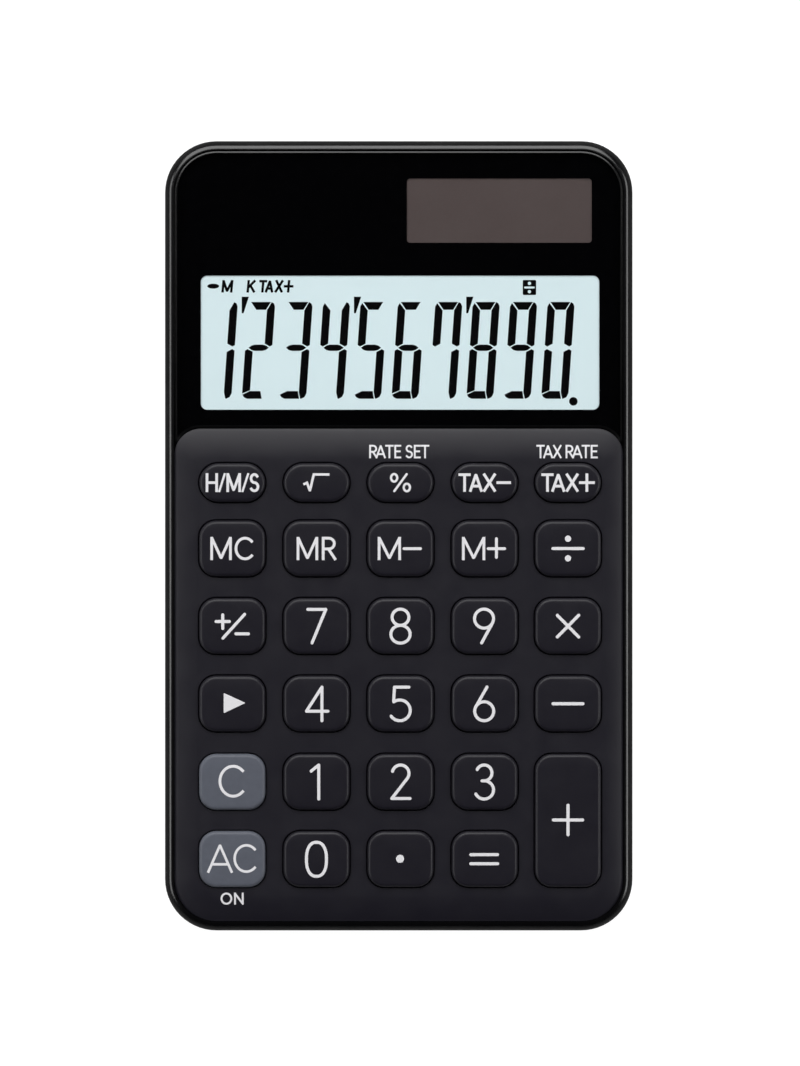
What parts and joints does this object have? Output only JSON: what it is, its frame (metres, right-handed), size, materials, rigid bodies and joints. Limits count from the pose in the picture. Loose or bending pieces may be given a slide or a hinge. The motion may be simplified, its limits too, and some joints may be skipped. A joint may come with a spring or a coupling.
{
  "type": "pocket calculator",
  "caption": "Slim pocket calculator with a gloss display panel, a solar window, a crowned satin keypad plate and rounded keys that press down one by one on a rubber mat.",
  "frame": {"origin": "middle of the outline, on the surface the calculator rests on, lying face up", "axes": "+X to the right of the reader, +Y towards the display end, +Z out of the keys"},
  "size_m": [0.07, 0.1182, 0.008],
  "materials": {
    "case_plastic": "satin",
    "plate_satin": "satin",
    "lens_acrylic": "gloss",
    "key_dark": "satin",
    "key_grey": "satin",
    "legend_ink": "matte",
    "segment_black": "satin",
    "screw_steel": "satin",
    "adhesive_film": "matte",
    "silicone": "satin",
    "board": "satin",
    "carbon": "matte",
    "epoxy": "satin",
    "ceramic": "matte",
    "polariser_film": "satin",
    "display_glass": "gloss",
    "reflector_film": "satin",
    "holder_plastic": "matte",
    "zebra_rubber": "matte",
    "solar": "gloss",
    "foam": "matte",
    "wire": "gloss",
    "battery_can": "satin",
    "spring_contact": "satin"
  },
  "bodies": {
    "case": {"front_case": "case_plastic", "rear_case": "case_plastic", "display_lens": "lens_acrylic", "keypad_plate": "plate_satin", "lens_tape": "adhesive_film", "plate_tape": "adhesive_film", "keymat": "silicone", "circuit_board": "board", "board_pads": "carbon", "board_screws": "screw_steel", "chip_blob": "epoxy", "chip_parts": "ceramic", "lcd_front_polariser": "polariser_film", "lcd_front_glass": "display_glass", "lcd_rear_glass": "display_glass", "lcd_reflector": "reflector_film", "lcd_holder": "holder_plastic", "zebra_strip": "zebra_rubber", "solar_cell": "solar", "solar_pad": "foam", "solar_wires": "wire", "battery": "battery_can", "battery_contact_plus": "spring_contact", "battery_contact_minus": "spring_contact", "case_screws": "screw_steel"},
    "key_hms": {"key_hms": "key_dark"},
    "key_sqrt": {"key_sqrt": "key_dark"},
    "key_percent": {"key_percent": "key_dark"},
    "key_tax_minus": {"key_tax_minus": "key_dark"},
    "key_tax_plus": {"key_tax_plus": "key_dark"},
    "key_mc": {"key_mc": "key_dark"},
    "key_mr": {"key_mr": "key_dark"},
    "key_m_minus": {"key_m_minus": "key_dark"},
    "key_m_plus": {"key_m_plus": "key_dark"},
    "key_divide": {"key_divide": "key_dark"},
    "key_sign": {"key_sign": "key_dark"},
    "key_7": {"key_7": "key_dark"},
    "key_8": {"key_8": "key_dark"},
    "key_9": {"key_9": "key_dark"},
    "key_multiply": {"key_multiply": "key_dark"},
    "key_backspace": {"key_backspace": "key_dark"},
    "key_4": {"key_4": "key_dark"},
    "key_5": {"key_5": "key_dark"},
    "key_6": {"key_6": "key_dark"},
    "key_minus": {"key_minus": "key_dark"},
    "key_c": {"key_c": "key_grey"},
    "key_1": {"key_1": "key_dark"},
    "key_2": {"key_2": "key_dark"},
    "key_3": {"key_3": "key_dark"},
    "key_plus": {"key_plus": "key_dark"},
    "key_ac": {"key_ac": "key_grey"},
    "key_0": {"key_0": "key_dark"},
    "key_point": {"key_point": "key_dark"},
    "key_equals": {"key_equals": "key_dark"}
  },
  "joints": [
    {"name": "press_hms", "type": "slide", "parent": "case", "child": "key_hms", "axis": [0, 0, -1], "range_m": [0, 0.0007], "stiffness_N_per_m": 800, "springref_m": -0.0006, "deforming": ["keymat"]},
    {"name": "press_sqrt", "type": "slide", "parent": "case", "child": "key_sqrt", "axis": [0, 0, -1], "range_m": [0, 0.0007], "stiffness_N_per_m": 800, "springref_m": -0.0006, "deforming": ["keymat"]},
    {"name": "press_percent", "type": "slide", "parent": "case", "child": "key_percent", "axis": [0, 0, -1], "range_m": [0, 0.0007], "stiffness_N_per_m": 800, "springref_m": -0.0006, "deforming": ["keymat"]},
    {"name": "press_tax_minus", "type": "slide", "parent": "case", "child": "key_tax_minus", "axis": [0, 0, -1], "range_m": [0, 0.0007], "stiffness_N_per_m": 800, "springref_m": -0.0006, "deforming": ["keymat"]},
    {"name": "press_tax_plus", "type": "slide", "parent": "case", "child": "key_tax_plus", "axis": [0, 0, -1], "range_m": [0, 0.0007], "stiffness_N_per_m": 800, "springref_m": -0.0006, "deforming": ["keymat"]},
    {"name": "press_mc", "type": "slide", "parent": "case", "child": "key_mc", "axis": [0, 0, -1], "range_m": [0, 0.0007], "stiffness_N_per_m": 800, "springref_m": -0.0006, "deforming": ["keymat"]},
    {"name": "press_mr", "type": "slide", "parent": "case", "child": "key_mr", "axis": [0, 0, -1], "range_m": [0, 0.0007], "stiffness_N_per_m": 800, "springref_m": -0.0006, "deforming": ["keymat"]},
    {"name": "press_m_minus", "type": "slide", "parent": "case", "child": "key_m_minus", "axis": [0, 0, -1], "range_m": [0, 0.0007], "stiffness_N_per_m": 800, "springref_m": -0.0006, "deforming": ["keymat"]},
    {"name": "press_m_plus", "type": "slide", "parent": "case", "child": "key_m_plus", "axis": [0, 0, -1], "range_m": [0, 0.0007], "stiffness_N_per_m": 800, "springref_m": -0.0006, "deforming": ["keymat"]},
    {"name": "press_divide", "type": "slide", "parent": "case", "child": "key_divide", "axis": [0, 0, -1], "range_m": [0, 0.0007], "stiffness_N_per_m": 800, "springref_m": -0.0006, "deforming": ["keymat"]},
    {"name": "press_sign", "type": "slide", "parent": "case", "child": "key_sign", "axis": [0, 0, -1], "range_m": [0, 0.0007], "stiffness_N_per_m": 800, "springref_m": -0.0006, "deforming": ["keymat"]},
    {"name": "press_7", "type": "slide", "parent": "case", "child": "key_7", "axis": [0, 0, -1], "range_m": [0, 0.0007], "stiffness_N_per_m": 800, "springref_m": -0.0006, "deforming": ["keymat"]},
    {"name": "press_8", "type": "slide", "parent": "case", "child": "key_8", "axis": [0, 0, -1], "range_m": [0, 0.0007], "stiffness_N_per_m": 800, "springref_m": -0.0006, "deforming": ["keymat"]},
    {"name": "press_9", "type": "slide", "parent": "case", "child": "key_9", "axis": [0, 0, -1], "range_m": [0, 0.0007], "stiffness_N_per_m": 800, "springref_m": -0.0006, "deforming": ["keymat"]},
    {"name": "press_multiply", "type": "slide", "parent": "case", "child": "key_multiply", "axis": [0, 0, -1], "range_m": [0, 0.0007], "stiffness_N_per_m": 800, "springref_m": -0.0006, "deforming": ["keymat"]},
    {"name": "press_backspace", "type": "slide", "parent": "case", "child": "key_backspace", "axis": [0, 0, -1], "range_m": [0, 0.0007], "stiffness_N_per_m": 800, "springref_m": -0.0006, "deforming": ["keymat"]},
    {"name": "press_4", "type": "slide", "parent": "case", "child": "key_4", "axis": [0, 0, -1], "range_m": [0, 0.0007], "stiffness_N_per_m": 800, "springref_m": -0.0006, "deforming": ["keymat"]},
    {"name": "press_5", "type": "slide", "parent": "case", "child": "key_5", "axis": [0, 0, -1], "range_m": [0, 0.0007], "stiffness_N_per_m": 800, "springref_m": -0.0006, "deforming": ["keymat"]},
    {"name": "press_6", "type": "slide", "parent": "case", "child": "key_6", "axis": [0, 0, -1], "range_m": [0, 0.0007], "stiffness_N_per_m": 800, "springref_m": -0.0006, "deforming": ["keymat"]},
    {"name": "press_minus", "type": "slide", "parent": "case", "child": "key_minus", "axis": [0, 0, -1], "range_m": [0, 0.0007], "stiffness_N_per_m": 800, "springref_m": -0.0006, "deforming": ["keymat"]},
    {"name": "press_c", "type": "slide", "parent": "case", "child": "key_c", "axis": [0, 0, -1], "range_m": [0, 0.0007], "stiffness_N_per_m": 800, "springref_m": -0.0006, "deforming": ["keymat"]},
    {"name": "press_1", "type": "slide", "parent": "case", "child": "key_1", "axis": [0, 0, -1], "range_m": [0, 0.0007], "stiffness_N_per_m": 800, "springref_m": -0.0006, "deforming": ["keymat"]},
    {"name": "press_2", "type": "slide", "parent": "case", "child": "key_2", "axis": [0, 0, -1], "range_m": [0, 0.0007], "stiffness_N_per_m": 800, "springref_m": -0.0006, "deforming": ["keymat"]},
    {"name": "press_3", "type": "slide", "parent": "case", "child": "key_3", "axis": [0, 0, -1], "range_m": [0, 0.0007], "stiffness_N_per_m": 800, "springref_m": -0.0006, "deforming": ["keymat"]},
    {"name": "press_plus", "type": "slide", "parent": "case", "child": "key_plus", "axis": [0, 0, -1], "range_m": [0, 0.0007], "stiffness_N_per_m": 800, "springref_m": -0.0006, "deforming": ["keymat"]},
    {"name": "press_ac", "type": "slide", "parent": "case", "child": "key_ac", "axis": [0, 0, -1], "range_m": [0, 0.0007], "stiffness_N_per_m": 800, "springref_m": -0.0006, "deforming": ["keymat"]},
    {"name": "press_0", "type": "slide", "parent": "case", "child": "key_0", "axis": [0, 0, -1], "range_m": [0, 0.0007], "stiffness_N_per_m": 800, "springref_m": -0.0006, "deforming": ["keymat"]},
    {"name": "press_point", "type": "slide", "parent": "case", "child": "key_point", "axis": [0, 0, -1], "range_m": [0, 0.0007], "stiffness_N_per_m": 800, "springref_m": -0.0006, "deforming": ["keymat"]},
    {"name": "press_equals", "type": "slide", "parent": "case", "child": "key_equals", "axis": [0, 0, -1], "range_m": [0, 0.0007], "stiffness_N_per_m": 800, "springref_m": -0.0006, "deforming": ["keymat"]}
  ]
}
